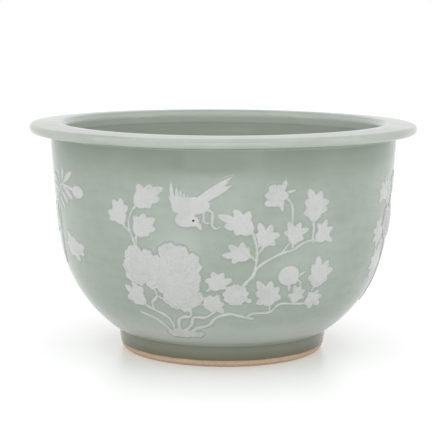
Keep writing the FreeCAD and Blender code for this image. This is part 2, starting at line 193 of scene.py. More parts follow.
def lathe(name, run, shift):
    """Closed surface of revolution.

    A vertex of ring i and step j is at angle 2 pi j / AROUND, at the radius and height of
    run[i], both moved by what shift(angle, radius, height) gives. Each ring is joined to
    the next by quads; a ring of no radius is one vertex, closed by a fan of triangles, and a
    profile that doesn't end on the axis is closed on itself.
    """
    radii, heights = run.T
    angle = np.arange(AROUND) * (2 * math.pi / AROUND)
    poles = (radii[0] == 0, radii[-1] == 0)
    rings = slice(int(poles[0]), len(radii) - int(poles[1]))
    turn, radius = np.meshgrid(angle, radii[rings])
    height = np.meshgrid(angle, heights[rings])[1]
    out, up = shift(turn, radius, height)
    radius = radius + out
    height = height + up
    vertices = about_axis(radius, turn, height).reshape(-1, 3)
    index = np.arange(turn.size).reshape(turn.shape)
    if not poles[0]:
        index = np.vstack([index, index[:1]])
    here, beside = index[:-1], np.roll(index[:-1], -1, 1)
    above, above_beside = index[1:], np.roll(index[1:], -1, 1)
    faces = np.stack([here, beside, above_beside, above], -1).reshape(-1, 4).tolist()
    if poles[0]:
        tip = np.array([[0, 0, heights[0]], [0, 0, heights[-1]]])
        vertices = np.vstack([vertices, tip])
        low, high = np.full(AROUND, turn.size), np.full(AROUND, turn.size + 1)
        first, last = index[0], index[-1]
        faces += np.stack([low, np.roll(first, -1), first], -1).tolist()
        faces += np.stack([high, last, np.roll(last, -1)], -1).tolist()
    piece = mesh_object(name, vertices * MM, faces)
    piece.data.set_sharp_from_angle(angle=SHARP_ANGLE)
    return piece


def float_attribute(piece, name, values):
    attribute = piece.data.attributes.new(name, "FLOAT", "POINT")
    attribute.data.foreach_set("value", np.ascontiguousarray(values, dtype=np.float32).ravel())


# ------------------------------------------------------------------ the wall's curve
class WallCurve:
    """Section of the bowl's wall in millimetres: a slight bow over a round."""

    def __init__(self, sizes):
        self.wall = sizes.wall / MM
        self.floor_fillet = sizes.floor_fillet / MM
        self.neck_radius = sizes.neck_radius / MM
        self.round_radius = sizes.round_radius / MM
        self.foot_height = sizes.foot_height / MM
        self.floor_height = (sizes.foot_height + sizes.base) / MM
        self.neck_height = (sizes.height - sizes.rim_height) / MM
        self.neck_lean = math.radians(2.4)
        self.belly_lean = math.radians(7.1)
        drop = self.neck_height - sizes.belly_height / MM
        self.sweep = drop / (math.sin(self.belly_lean) - math.sin(self.neck_lean))
        self.sweep_centre = (self.neck_radius - self.sweep * math.cos(self.neck_lean),
                             self.neck_height + self.sweep * math.sin(self.neck_lean))
        self.mouth_lean = math.asin((self.sweep_centre[1] - self.neck_height)
                                    / (self.sweep - self.wall))
        self.mouth_radius = self.on_arc(self.sweep_centre, self.sweep - self.wall,
                                        self.mouth_lean)[0]
        self.round_centre = self.on_arc(self.sweep_centre, self.sweep - self.round_radius,
                                        self.belly_lean)
        self.foot_lean = math.asin((self.round_centre[1] - self.foot_height)
                                   / self.round_radius)
        self.foot_radius = self.on_arc(self.round_centre, self.round_radius,
                                       self.foot_lean)[0]
        self.round_length = self.round_radius * (self.foot_lean - self.belly_lean)
        self.length = self.round_length + self.sweep * (self.belly_lean - self.neck_lean)

    @staticmethod
    def on_arc(centre, radius, lean):
        return centre[0] + radius * np.cos(lean), centre[1] - radius * np.sin(lean)

    def at(self, rise):
        """Radius, height and lean at a rise: the lean falls evenly along each arc."""
        on_round = rise < self.round_length
        lean = np.where(on_round, self.foot_lean - rise / self.round_radius,
                        self.belly_lean - (rise - self.round_length) / self.sweep)
        low = self.on_arc(self.round_centre, self.round_radius, lean)
        high = self.on_arc(self.sweep_centre, self.sweep, lean)
        return np.where(on_round, low[0], high[0]), np.where(on_round, low[1], high[1]), lean


def thrown(angle, height, amount):
    """Outward stray of the thrown wall: a few slow waves round it and up it."""
    waves = (np.sin(2 * angle + 0.7) + 0.55 * np.sin(3 * angle + height / 37.0)
             + 0.4 * np.sin(5 * angle - height / 23.0) + 0.25 * np.sin(height / 9.0))
    return amount * waves


def arc_run(centre, radius, first, last, count):
    """Radii and heights of points on an arc, evenly spaced between two leans."""
    lean = np.linspace(first, last, count)
    return np.stack(WallCurve.on_arc(centre, radius, lean), -1)


def level_run(radii, height):
    """Radii and heights of points that lie at one height."""
    return np.stack([radii, np.full(len(radii), height)], -1)


def rounded_run(corners, spacing):
    """Radii and heights along a closed section of (radius, height, rounding) corners.

    A rounded corner is an arc about the point on its bisector that lies one rounding from
    both sides; straight runs between arcs are divided evenly.
    """
    place = np.array([corner[:2] for corner in corners], float)
    arcs = []
    for index, (here, corner) in enumerate(zip(place, corners)):
        rounding = corner[2]
        if not rounding:
            arcs.append(here[None])
            continue
        before = place[index - 1] - here
        after = place[(index + 1) % len(corners)] - here
        before /= np.hypot(*before)
        after /= np.hypot(*after)
        half = math.acos(np.clip(before @ after, -1, 1)) / 2
        inward = (before + after) / np.hypot(*(before + after))
        centre = here + inward * rounding / math.sin(half)
        start = here + before * rounding / math.tan(half) - centre
        side = here + after * rounding / math.tan(half) - centre
        sweep = math.pi - 2 * half
        across = (side - start * math.cos(sweep)) / math.sin(sweep)
        steps = np.linspace(0, sweep, max(3, int(sweep * rounding / spacing) + 9))[:, None]
        arcs.append(centre + start * np.cos(steps) + across * np.sin(steps))
    run = []
    for index, arc in enumerate(arcs):
        gap = arc[0] - arcs[index - 1][-1]
        steps = max(1, int(np.hypot(*gap) / spacing))
        share_along = np.arange(1, steps)[:, None] / steps
        run += [arcs[index - 1][-1] + gap * share_along, arc]
    return np.vstack(run)


# ------------------------------------------------------------------ strokes of the relief
# A stroke gives two arrays on a motif's grid: how far a place lies inside the stroke's edge,
# in millimetres and less than 0 outside it, and how thick the slip would be there.
Leaf = namedtuple("Leaf", "base heart half_length half_width tips")
Stem = namedtuple("Stem", "first_width last_width points")
Feather = namedtuple("Feather", "root tip width")
Pad = namedtuple("Pad", "girth rise half_width half_height")
Peony = namedtuple("Peony", "girth rise half_width half_height tilt turn")
Blossom = namedtuple("Blossom", "girth rise half_width half_height petals turn")
Lumps = namedtuple("Lumps", "points size")


def along(girth, rise, start, end):
    """Share of the way from start to end, and the distance aside, of every place."""
    reach = math.dist(start, end)
    forward = ((end[0] - start[0]) / reach, (end[1] - start[1]) / reach)
    ahead = ((girth - start[0]) * forward[0] + (rise - start[1]) * forward[1]) / reach
    aside = (rise - start[1]) * forward[0] - (girth - start[0]) * forward[1]
    return ahead, aside, reach


def smooth_union(fields, softness):
    """Greatest of some fields, with a soft fillet where two of them meet."""
    top = np.max(fields, 0)
    return top + softness * np.log(np.sum(np.exp((fields - top) / softness), 0))


def leaf_stroke(girth, rise, leaf, thick):
    """An oval body on a stalk, with a lobe from its heart to each tip.

    The body is an oval along the way from the stalk to the heart. A lobe swells by a sine
    of its length and then falls to a blunt point. The slip is a low pillow on the body and
    on each lobe, with a fine groove down the middle of each.
    """
    ahead, aside, reach = along(girth, rise, leaf.base, leaf.heart)
    out = np.hypot((ahead - 1) * reach / leaf.half_length, aside / leaf.half_width) / 0.92
    fields = [(1 - out) * min(leaf.half_length, leaf.half_width)]
    gone = np.clip(ahead, 0, 1)
    fields.append(1.0 + 1.8 * gone - np.hypot(aside, reach * (ahead - gone)))
    pillow = 0.75 + 0.25 * np.sqrt(np.clip(1 - out, 0, 1))
    groove = bell(aside, 0.5) * (gone < 1)
    for tip in leaf.tips:
        ahead, aside, reach = along(girth, rise, leaf.heart, tip)
        gone = np.clip(ahead, 0, 1)
        aside = aside - 0.05 * reach * np.sin(math.pi * gone) * math.cos(tip[0])
        swell = 0.78 + 0.32 * np.sin(math.pi * gone ** 1.3)
        half = 0.41 * leaf.half_width * swell * (1 - gone ** 7) ** 0.6
        fields.append(half - np.hypot(aside, reach * (ahead - gone)))
        on_lobe = (gone > 0) & (gone < 0.85)
        groove = np.maximum(groove, bell(aside, 0.45) * on_lobe)
    field = smooth_union(np.array(fields), 0.35)
    return field, thick * (pillow - 0.19 * groove) * (0.8 + 0.2 * np.clip(field / 3, 0, 1))


def stem_stroke(girth, rise, stem, thick):
    """A round-backed run of slip along a curve through the stem's points."""
    points = smooth_path(stem.points)
    share_along = np.linspace(0, 1, len(points))
    half = 0.6 * (stem.first_width + (stem.last_width - stem.first_width) * share_along)
    half *= 1 + 0.16 * np.sin(share_along * len(points) * 0.9 + stem.points[0][0])
    best = np.full(girth.shape, FAR_OUTSIDE)
    for start, end, near, far in zip(points[:-1], points[1:], half[:-1], half[1:]):
        ahead, aside, reach = along(girth, rise, start, end)
        gone = np.clip(ahead, 0, 1)
        field = near + (far - near) * gone - np.hypot(aside, reach * (ahead - gone))
        best = np.maximum(best, field)
    return best, thick * (0.75 + 0.25 * np.clip(best, 0, 1))


def smooth_path(points, steps=5):
    """Points on a curve through given ones: between two of them it is the cubic whose
    slopes there follow their neighbours on each side."""
    known = np.array(points, float)
    padded = np.vstack([2 * known[0] - known[1], known, 2 * known[-1] - known[-2]])
    before, start, end, after = padded[:-3], padded[1:-2], padded[2:-1], padded[3:]
    gone = (np.arange(steps) / steps)[None, :, None]
    before, start, end, after = (row[:, None] for row in (before, start, end, after))
    curve = 0.5 * (2 * start + (end - before) * gone
                   + (2 * before - 5 * start + 4 * end - after) * gone ** 2
                   + (3 * start - before - 3 * end + after) * gone ** 3)
    return np.vstack([curve.reshape(-1, 2), known[-1]])


def feather_stroke(girth, rise, feather, thick):
    """A blade that is widest past its middle, with a groove down its back."""
    ahead, aside, reach = along(girth, rise, feather.root, feather.tip)
    gone = np.clip(ahead, 0, 1)
    half = feather.width / 2 * np.sqrt(gone + 0.05) * (1 - gone ** 4) ** 0.8 * 1.25
    field = half - np.hypot(aside, reach * (ahead - gone))
    groove = 0.25 * bell(aside, 0.45) * (gone < 0.95)
    return field, thick * (0.9 - 0.15 * gone - groove)


def pad_stroke(girth, rise, pad, thick):
    """A domed oval: it swells by the root of its share of the way in from the edge."""
    out = np.hypot((girth - pad.girth) / pad.half_width, (rise - pad.rise) / pad.half_height)
    field = (1 - out) * min(pad.half_width, pad.half_height)
    return field, thick * (0.7 + 0.5 * np.sqrt(np.clip(1 - out, 0, 1)))


def petal_stroke(girth, rise, place, size, heading, lift, frills):
    """One petal: an oval with a frilled outer edge, turned up at that edge.

    Its reach swells and shrinks with a cosine of the angle about its middle; the slip is
    lifted by its layer, hollowed towards the middle and raised in a fine roll at the edge.
    """
    turned_girth = (girth - place[0]) * math.cos(heading) + (rise - place[1]) * math.sin(heading)
    turned_rise = (rise - place[1]) * math.cos(heading) - (girth - place[0]) * math.sin(heading)
    angle = np.arctan2(turned_rise / size[1], turned_girth / size[0])
    out = np.hypot(turned_girth / size[0], turned_rise / size[1])
    reach = 1 + 0.075 * np.cos(frills * angle + heading * 2) * bell(angle, 1.5)
    field = (reach - out) * min(size)
    roll = bell(field, 0.55, 0.75)
    return field, lift + 0.26 * roll - 0.16 * np.clip(field / min(size), 0, 1)


def peony_stroke(girth, rise, peony, thick):
    """A full bloom: rings of petals, each ring nearer the heart lying on the one before."""
    fields, lifts = [], []
    tilt = math.radians(peony.tilt)
    rings = ((10, 0.71, 0.36, 0.36, 0.0), (9, 0.50, 0.34, 0.33, 0.30),
             (7, 0.29, 0.30, 0.27, 0.55), (4, 0.10, 0.24, 0.20, 0.75))
    for ring, (petals, out, petal_length, petal_width, lift) in enumerate(rings):
        for petal in range(petals):
            stray = math.sin(petal * 2.4 + ring * 1.7 + peony.turn * 3)
            heading = 2 * math.pi * (petal + 0.5 * ring) / petals + peony.turn + 0.14 * stray
            reach = out * (1 + 0.10 * math.cos(petal * 3.9 + ring + peony.turn * 5))
            ahead = peony.half_width * reach * math.cos(heading)
            aside = peony.half_height * reach * math.sin(heading)
            place = (peony.girth + ahead * math.cos(tilt) - aside * math.sin(tilt),
                     peony.rise + ahead * math.sin(tilt) + aside * math.cos(tilt))
            scale = (peony.half_width + peony.half_height) / 2 * (1 + 0.1 * stray)
            field, height = petal_stroke(
                girth, rise, place, (petal_length * scale, petal_width * scale),
                heading + tilt, lift + 0.05 * stray, 5 + (petal + ring) % 3)
            fields.append(field)
            rounded = np.clip(field / 0.8, 0, 1)
            lifts.append(np.where(field > 0, (thick + height) * (0.35 + 0.65 * rounded
                                                                * (2 - rounded)), 0))
    return smooth_union(np.array(fields), 0.3), np.max(lifts, 0)


def blossom_stroke(girth, rise, blossom, thick):
    """A small open flower: one ring of broad petals about a raised heart."""
    fields, lifts = [], []
    scale = (blossom.half_width + blossom.half_height) / 2
    for petal in range(blossom.petals):
        heading = 2 * math.pi * petal / blossom.petals + blossom.turn
        place = (blossom.girth + blossom.half_width * 0.55 * math.cos(heading),
                 blossom.rise + blossom.half_height * 0.55 * math.sin(heading))
        field, height = petal_stroke(girth, rise, place, (0.47 * scale, 0.42 * scale), heading,
                                     0.1 + 0.1 * (petal % 2), 4)
        fields.append(field)
        lifts.append(np.where(field > 0, thick + height, 0))
    heart = Pad(blossom.girth, blossom.rise, blossom.half_width * 0.36,
                blossom.half_height * 0.36)
    field, height = pad_stroke(girth, rise, heart, thick + 0.3)
    fields.append(field)
    lifts.append(np.where(field > 0, height, 0))
    return smooth_union(np.array(fields), 0.4), np.max(lifts, 0)


def lumps_stroke(girth, rise, lumps, thick):
    """A patch of round lumps that run into each other."""
    fields = [lumps.size * (0.85 + 0.25 * math.sin(2.7 * place[0]))
              - np.hypot(girth - place[0], 1.15 * (rise - place[1])) for place in lumps.points]
    field = smooth_union(np.array(fields), 0.8)
    return field, thick * (0.6 + 0.35 * np.clip(field / lumps.size, 0, 1))


STROKES = {Leaf: leaf_stroke, Stem: stem_stroke, Feather: feather_stroke, Pad: pad_stroke,
           Peony: peony_stroke, Blossom: blossom_stroke, Lumps: lumps_stroke}


def extent(stroke):
    """Lowest and highest girth and rise that a stroke's slip can reach."""
    if isinstance(stroke, Leaf):
        points, spare = (stroke.base, stroke.heart) + stroke.tips, 3.5
    elif isinstance(stroke, Stem):
        points, spare = stroke.points, max(stroke.first_width, stroke.last_width)
    elif isinstance(stroke, Feather):
        points, spare = (stroke.root, stroke.tip), stroke.width
    elif isinstance(stroke, Lumps):
        points, spare = stroke.points, stroke.size * 1.3
    else:
        points = ((stroke.girth - stroke.half_width, stroke.rise - stroke.half_height),
                  (stroke.girth + stroke.half_width, stroke.rise + stroke.half_height))
        spare = 0.3 * stroke.half_width
    girths, rises = zip(*points)
    return min(girths) - spare, max(girths) + spare, min(rises) - spare, max(rises) + spare


def blurred(values, reach):
    """Mean of each value and its neighbours up to a reach away, along rows and columns."""
    for axis in (0, 1):
        values = np.mean([np.roll(values, step, axis) for step in range(-reach, reach + 1)], 0)
    return values


def lay_motif(context, node, spray, strokes, thick):
    """Piece of relief that stands for a node, laid on the wall of its spray's side.

    On the motif's grid, the slip is the greatest thickness of its strokes, rounded off
    towards the edge of the greatest field. Outside that edge a film of pooled glaze falls
    with the square of the way out and sinks into the wall. A grid place goes out from the
    wall along its normal by the film and the slip there.
    """
    settings = context.scene.jardiniere_relief
    curve = WallCurve(context.scene.jardiniere_vessel)
    stray = context.scene.jardiniere_vessel.unevenness / MM
    step = settings.grid / MM
    pool_width = settings.pool_width / MM
    edges = np.array([extent(stroke) for stroke in strokes])
    low_girth, low_rise = edges[:, 0].min() - pool_width, edges[:, 2].min() - pool_width
    high_girth, high_rise = edges[:, 1].max() + pool_width, edges[:, 3].max() + pool_width
    low_rise = max(low_rise, RISE_START + 0.5)
    high_rise = min(high_rise, RISE_START + curve.length - 0.5)
    girth, rise = np.meshgrid(np.arange(low_girth, high_girth, step),
                              np.arange(low_rise, high_rise, step))
    field = np.full(girth.shape, FAR_OUTSIDE)
    slip = np.zeros(girth.shape)
    for stroke in strokes:
        stroke_field, stroke_slip = STROKES[type(stroke)](girth, rise, stroke, thick / MM)
        field = np.maximum(field, stroke_field)
        slip = np.maximum(slip, np.where(stroke_field > -1, stroke_slip, 0))
    field = field + 0.2 * np.sin(1.9 * girth + 0.6 * rise) * np.sin(1.6 * rise - 0.4 * girth)
    inside = np.clip(field / (settings.edge_round / MM), 0, 1)
    slip *= inside * (2 - inside)
    hollow = np.clip((blurred(slip, 3) - slip) / 0.14, 0, 1) * (slip > 0)
    pooled = np.clip(1 + field / pool_width, 0, 1)
    film = settings.pool_height / MM * pooled ** 2 - 0.015 * (1 - pooled)
    radius, height, lean = curve.at(rise - RISE_START)
    turn = math.radians(SPRAY_TURNS[spray]) + girth / GIRTH_RADIUS
    out = film + slip
    radius = radius + thrown(turn, height, stray) + out * np.cos(lean)
    height = height - out * np.sin(lean)
    vertices = about_axis(radius, turn, height)
    cells = grid_corners(field > -pool_width).any(-1)
    quads = grid_corners(np.arange(girth.size).reshape(girth.shape))[cells]
    used = np.unique(quads)
    renumber = np.zeros(girth.size, int)
    renumber[used] = np.arange(len(used))
    piece = mesh_object("slip_" + node, vertices.reshape(-1, 3)[used] * MM, renumber[quads])
    for name, values in (("slip", slip), ("hollow", hollow), ("pool", pooled ** 2)):
        float_attribute(piece, name, values.ravel()[used])
    return piece


# ------------------------------------------------------------------ the sprays
def main_spray():
    """Strokes of the bird, the peonies and the branches, by the end of their node's name."""
    return {
        "bird": (
            Pad(-23.5, 155.5, 13.2, 8.0), Pad(-33.5, 156.5, 8.8, 6.6),
            Pad(-30.0, 149.0, 8.6, 5.6), Pad(-38.6, 156.5, 4.6, 8.4),
            Pad(-30.8, 143.2, 9.8, 7.0), Pad(-25.0, 141.6, 6.0, 4.6),
            Feather((-24, 144), (-17.4, 134.3), 5.0),
            Feather((-41.5, 149.5), (-43.2, 175), 4.6), Feather((-37, 150), (-38.8, 171), 4.2),
            Feather((-34, 150), (-35.4, 169), 3.6), Feather((-31, 150), (-32.4, 166.8), 3.4),
            Feather((-28, 150), (-29.4, 165.2), 3.2), Feather((-39, 152), (-44.6, 163), 4.4),
            Feather((-28, 156), (7.5, 180.6), 6.0), Feather((-24, 153.6), (8, 174.2), 5.4),
            Feather((-25, 155), (5, 176.4), 5.0),
            Feather((-17, 153), (-11.8, 163), 4.6),
            Stem(2.2, 1.5, ((-16, 150), (-15.6, 142), (-12, 140.3))),
            Stem(2.4, 1.6, ((-12, 152), (-8.5, 149), (-9, 139), (-6, 136), (-3, 137.2))),
        ),
        "peony_lower": (Peony(-38.8, 77.2, 21.2, 18.0, -24, 2.2), Pad(-53, 94, 5.0, 4.6)),
        "peony_left": (Peony(-72.0, 98.4, 22.4, 17.2, -24, 0.4),),
        "peony_right": (Peony(-37.8, 103.2, 22.4, 15.2, -38, 1.3),),
        "open_blossom": (
            Blossom(44.4, 164.0, 9.8, 11.2, 6, 1.02), Pad(37.6, 157.4, 3.6, 3.4),
            Feather((48, 160), (50.3, 149.5), 4.2), Feather((51, 166), (61.5, 168.2), 3.4),
            Feather((50, 167), (52, 177.5), 5.0),
        ),
        "round_bud": (
            Pad(59.8, 92.8, 10.2, 9.4), Pad(66.3, 89.5, 3.6, 5.6),
            Feather((62, 85), (68, 99.5), 5.6),
            Feather((61, 86), (62.2, 77.8), 3.4), Feather((67, 91), (76, 95.8), 3.0),
        ),
        "twig_leaves": (
            Leaf((-79.5, 149), (-68.5, 160), 11.5, 9.2,
                 ((-73, 172.3), (-60.5, 172.3), (-49.6, 169.8), (-52.6, 160), (-61.5, 151.6))),
            Leaf((-88, 133.5), (-93.3, 144), 10.0, 8.2,
                 ((-104, 138.5), (-105.6, 145.6), (-98.8, 157), (-90.6, 159), (-83.8, 152.4))),
            Leaf((-78, 124), (-71.8, 134), 9.8, 8.8,
                 ((-78.6, 144), (-68, 147), (-57.6, 143), (-58, 133.4), (-64, 127.5))),
        ),
        "middle_leaves": (
            Leaf((27, 129.5), (16.5, 139), 12.0, 8.8,
                 ((-4.5, 147.6), (9, 153), (22, 151.3), (0.8, 138.2), (10.5, 130.5))),
            Leaf((29.5, 119.5), (36, 127), 8.8, 7.6,
                 ((30, 141), (41.4, 139.2), (48.8, 130.3), (45, 121), (27.6, 131))),
            Leaf((25.5, 111), (15.5, 113.8), 9.4, 7.0,
                 ((17, 124), (4.6, 121.8), (-0.6, 112.8), (8, 105.6), (22.5, 119.5))),
        ),
        "right_leaves": (
            Leaf((61, 118), (62.2, 128.6), 9.0, 7.0,
                 ((56, 141.6), (66.8, 140), (75.8, 133.6), (52.2, 132), (71, 124.6))),
            Leaf((79.5, 136.0), (80.4, 151.5), 13.0, 9.0,
                 ((73.4, 169), (85.2, 166.8), (94.4, 157), (70.2, 159.2), (69.4, 146.6),
                  (93, 149.4))),
            Leaf((80.5, 121.5), (90, 127.4), 8.8, 7.0,
                 ((84.5, 138.2), (93.2, 141.2), (101, 133.4), (101.6, 120.8))),
        ),
        "far_right_leaves": (
            Leaf((87, 76.5), (92, 89.4), 11.6, 9.4,
                 ((88, 109.3), (99.4, 104.2), (106.4, 95.6), (82, 101.5), (79.6, 89),
                  (101.5, 85))),
            Leaf((80, 62.6), (90, 66.4), 8.6, 7.2,
                 ((84, 75), (95, 76.4), (101, 69.3), (102.4, 60.2), (91.5, 56))),
            Leaf((70, 63.5), (70.6, 71.4), 7.2, 6.0,
                 ((66.6, 83.2), (73.6, 82.4), (79, 78.2), (61.8, 74), (80, 70))),
        ),
        "low_right_leaf": (
            Leaf((46.5, 60.5), (43.2, 73), 11.0, 9.0,
                 ((30.6, 89.4), (43.6, 88.8), (52.2, 82.6), (30.2, 78), (32, 66), (55.6, 71))),
        ),
        "low_middle_leaves": (
            Leaf((-14, 79.5), (-5, 87), 8.8, 7.4,
                 ((-15.6, 90), (-9.2, 97.8), (1, 97), (8.6, 90.8), (3.4, 83))),
            Blossom(12.0, 75.6, 12.2, 10.4, 9, 0.2), Pad(24.6, 69.6, 3.0, 2.6),
            Leaf((-20, 65), (-9.5, 66), 9.8, 8.0,
                 ((-18, 73), (-12, 75.6), (-3.4, 76.2), (2, 66.4), (2, 56.6), (-10, 57))),
        ),
        "low_left_leaf": (
            Leaf((-75, 58), (-84, 68.6), 10.4, 8.8,
                 ((-85, 85.4), (-76.5, 80.6), (-95.4, 80.2), (-97, 66.4), (-90, 60.4))),
        ),
        "rockwork": (
            Lumps(((-61, 27), (-54, 29), (-48, 30), (-41, 27.5), (-33, 29.5), (-24, 27.5),
                   (-50, 24), (-57, 24.5), (-43, 24), (-35, 24.8), (-28, 25)), 5.8),
        ),
        "twig": (
            Stem(2.2, 1.6, ((-79, 115), (-79.5, 121), (-83, 130), (-83.5, 140), (-79, 150))),
            Stem(1.8, 1.4, ((-83, 130), (-88, 134))),
            Stem(1.8, 1.4, ((-78, 116), (-76.5, 125))),
        ),
        "upper_branch": (
            Stem(3.0, 2.0, ((17, 83), (22, 89), (27, 95), (29, 107), (29, 118), (26, 130))),
            Stem(2.3, 2.0, ((29, 100), (36, 106), (50, 113), (61, 116), (71, 121.5),
                            (81, 124))),
            Stem(1.8, 1.8, ((51, 113), (57, 121))),
            Stem(1.7, 1.6, ((29, 112), (35, 120))),
            Stem(1.7, 1.6, ((29, 107), (24, 112))),
            Stem(2.0, 2.0, ((80, 123), (80.5, 138))),
        ),
        "blossom_stalk": (Stem(1.9, 1.8, ((59.5, 137), (59, 152), (56, 159), (51, 162))),),
        "bud_stalk": (Stem(1.7, 1.6, ((66, 90), (72, 86), (73.5, 76))),),
        "lower_branch": (
            Stem(3.6, 2.6, ((-35, 30), (-28, 35.5), (-14, 41), (-7, 50), (6, 55), (16, 53),
                            (31, 48.5))),
            Stem(2.4, 2.0, ((24, 50.5), (30, 55), (47, 56), (55, 64.5), (68, 64), (82, 63))),
            Stem(2.0, 2.0, ((46, 62), (47, 56))),
        ),
        "main_stems": (
            Stem(3.6, 2.2, ((-54, 30), (-53.5, 40), (-57, 49), (-67, 55), (-76, 60))),
            Stem(2.3, 1.6, ((-69, 56), (-69.5, 64), (-63, 71), (-64, 84))),
            Stem(1.8, 1.6, ((-68.5, 66), (-62, 71.5), (-55, 68))),
            Stem(4.0, 2.6, ((-59, 30), (-68, 42), (-75, 47), (-87, 51.5))),
            Stem(3.6, 2.2, ((-47, 30), (-46, 44), (-40, 50), (-32, 51.5), (-31, 62))),
            Stem(3.6, 2.2, ((-43, 30), (-33, 40), (-29, 50), (-17, 50.5), (-7, 58))),
        ),
    }


def fan(base, reach, headings):
    """Places at a reach from a base, along headings in degrees."""
    return tuple((base[0] + reach * math.cos(math.radians(heading)),
                  base[1] + reach * math.sin(math.radians(heading))) for heading in headings)


def left_spray():
    """Strokes of the bud, the narrow leaves and the broad leaves on the left side."""
    blades = (
        ((2, 164), (22, 176), 6.4), ((0, 165), (4, 178.5), 5.4), ((-6, 164), (-12, 179), 5.4),
        ((-12, 162), (-26, 172), 5.4), ((-14, 158), (-32, 161), 5.4),
        ((-15, 152), (-31, 149), 5.4), ((-18, 146), (-31, 138), 5.4),
        ((3, 161), (21, 151), 6.4), ((-3, 157), (11, 146.5), 6.0), ((-10, 152), (3, 141), 5.6),
        ((-15, 147), (-5, 136.5), 5.4),
    )
    return {
        "left_bud": (Pad(30, 158.6, 9.4, 6), Feather((-1, 163), (27, 159.5), 4.6)),
        "left_broad_leaves": (
            Leaf((-8, 109), (12, 107), 15.0, 9.4,
                 ((2, 120), (14, 117), (33, 108.5), (31, 101.5), (21, 94.5), (3, 98))),
            Leaf((-19, 122), (-32, 127), 12.0, 9.0,
                 fan((-29, 126), 18, (75, 110, 145, 185, 225))),
        ),
        "left_narrow_leaves": tuple(Feather(*blade) for blade in blades),
        "left_twig": (Stem(3.0, 2.0, ((-24, 88), (-20, 105), (-18, 130), (-14, 150),
                                      (-1, 163))),),
    }


def right_spray():
    """Strokes of the peony and its leaves on the right side."""
    return {
        "right_peony": (Peony(7, 128, 17.5, 15.5, 8, 0.8),),
        "right_spray_leaves": (
            Leaf((-9, 149), (-16, 157), 8.6, 7.4, fan((-16, 157), 14, (50, 90, 130, 170, 215))),
            Leaf((-8, 119), (-19, 121), 9.0, 7.6, fan((-19, 121), 14.5, (90, 130, 170, 210, 250))),
            Leaf((1, 91), (-13, 93), 11.0, 8.4, fan((-13, 93), 17, (95, 130, 165, 200, 240))),
            Leaf((12, 151), (18, 160), 8.8, 7.4, fan((18, 160), 14, (-15, 25, 62, 100, 140))),
        ),
        "right_twig": (
            Stem(3.0, 1.8, ((15, 48), (10, 70), (4, 92), (5, 117))),
            Stem(2.2, 2.0, ((2, 139), (-10, 149))),
            Stem(2.2, 2.0, ((9, 139), (12, 151))),
        ),
    }


# ------------------------------------------------------------------ materials
def new_material(name):
    """Node material with an output only, its surface shader, and the weave of its nodes."""
    material = bpy.data.materials.new(name)
    material.use_nodes = True
    nodes = material.node_tree.nodes
    nodes.clear()
    output = nodes.new("ShaderNodeOutputMaterial")
    shader = nodes.new("ShaderNodeBsdfPrincipled")
    material.node_tree.links.new(shader.outputs["BSDF"], output.inputs["Surface"])
    return material, shader, Weave(material.node_tree)


class Weave:
    """Short ways to add nodes to a material and to join them."""

    def __init__(self, tree):
        self.tree = tree

    def node(self, kind, **values):
        node = self.tree.nodes.new(kind)
        for name, value in values.items():
            setattr(node, name, value)
        return node

    def link(self, source, target):
        self.tree.links.new(source, target)

    def set(self, socket, value):
        if isinstance(value, bpy.types.NodeSocket):
            self.link(value, socket)
        else:
            socket.default_value = value

    def fill(self, node, values):
        """Join or set the inputs that are named."""
        for name, value in values.items():
            self.set(node.inputs[name], value)

    def math(self, operation, first, second=0.0, third=0.0):
        node = self.node("ShaderNodeMath", operation=operation)
        for socket, value in zip(node.inputs, (first, second, third)):
            self.set(socket, value)
        return node.outputs[0]

    def spread(self, value, low, high, to_low=0.0, to_high=1.0):
        """Value carried from one range to another, smooth at both ends and held there."""
        node = self.node("ShaderNodeMapRange", interpolation_type="SMOOTHSTEP")
        for socket, given in zip(node.inputs, (value, low, high, to_low, to_high)):
            self.set(socket, given)
        return node.outputs[0]

    def blend(self, amount, first, second):
        node = self.node("ShaderNodeMix", data_type="RGBA")
        self.set(node.inputs[0], amount)
        for socket, value in ((node.inputs[6], first), (node.inputs[7], second)):
            self.set(socket, value if isinstance(value, bpy.types.NodeSocket)
                     else (*value, 1.0))
        return node.outputs[2]

    def place(self):
        return self.node("ShaderNodeTexCoord").outputs["Object"]

    def noise(self, place, scale, detail=2.0, roughness=0.5):
        node = self.node("ShaderNodeTexNoise")
        self.fill(node, {"Vector": place, "Scale": scale, "Detail": detail,
                         "Roughness": roughness})
        return node.outputs[0]

    def attribute(self, name):
        return self.node("ShaderNodeAttribute", attribute_name=name).outputs["Fac"]

    def bump(self, height, distance, after=None):
        node = self.node("ShaderNodeBump")
        self.fill(node, {"Distance": distance, "Strength": 1.0, "Height": height})
        if after is not None:
            self.link(after, node.inputs["Normal"])
        return node.outputs[0]


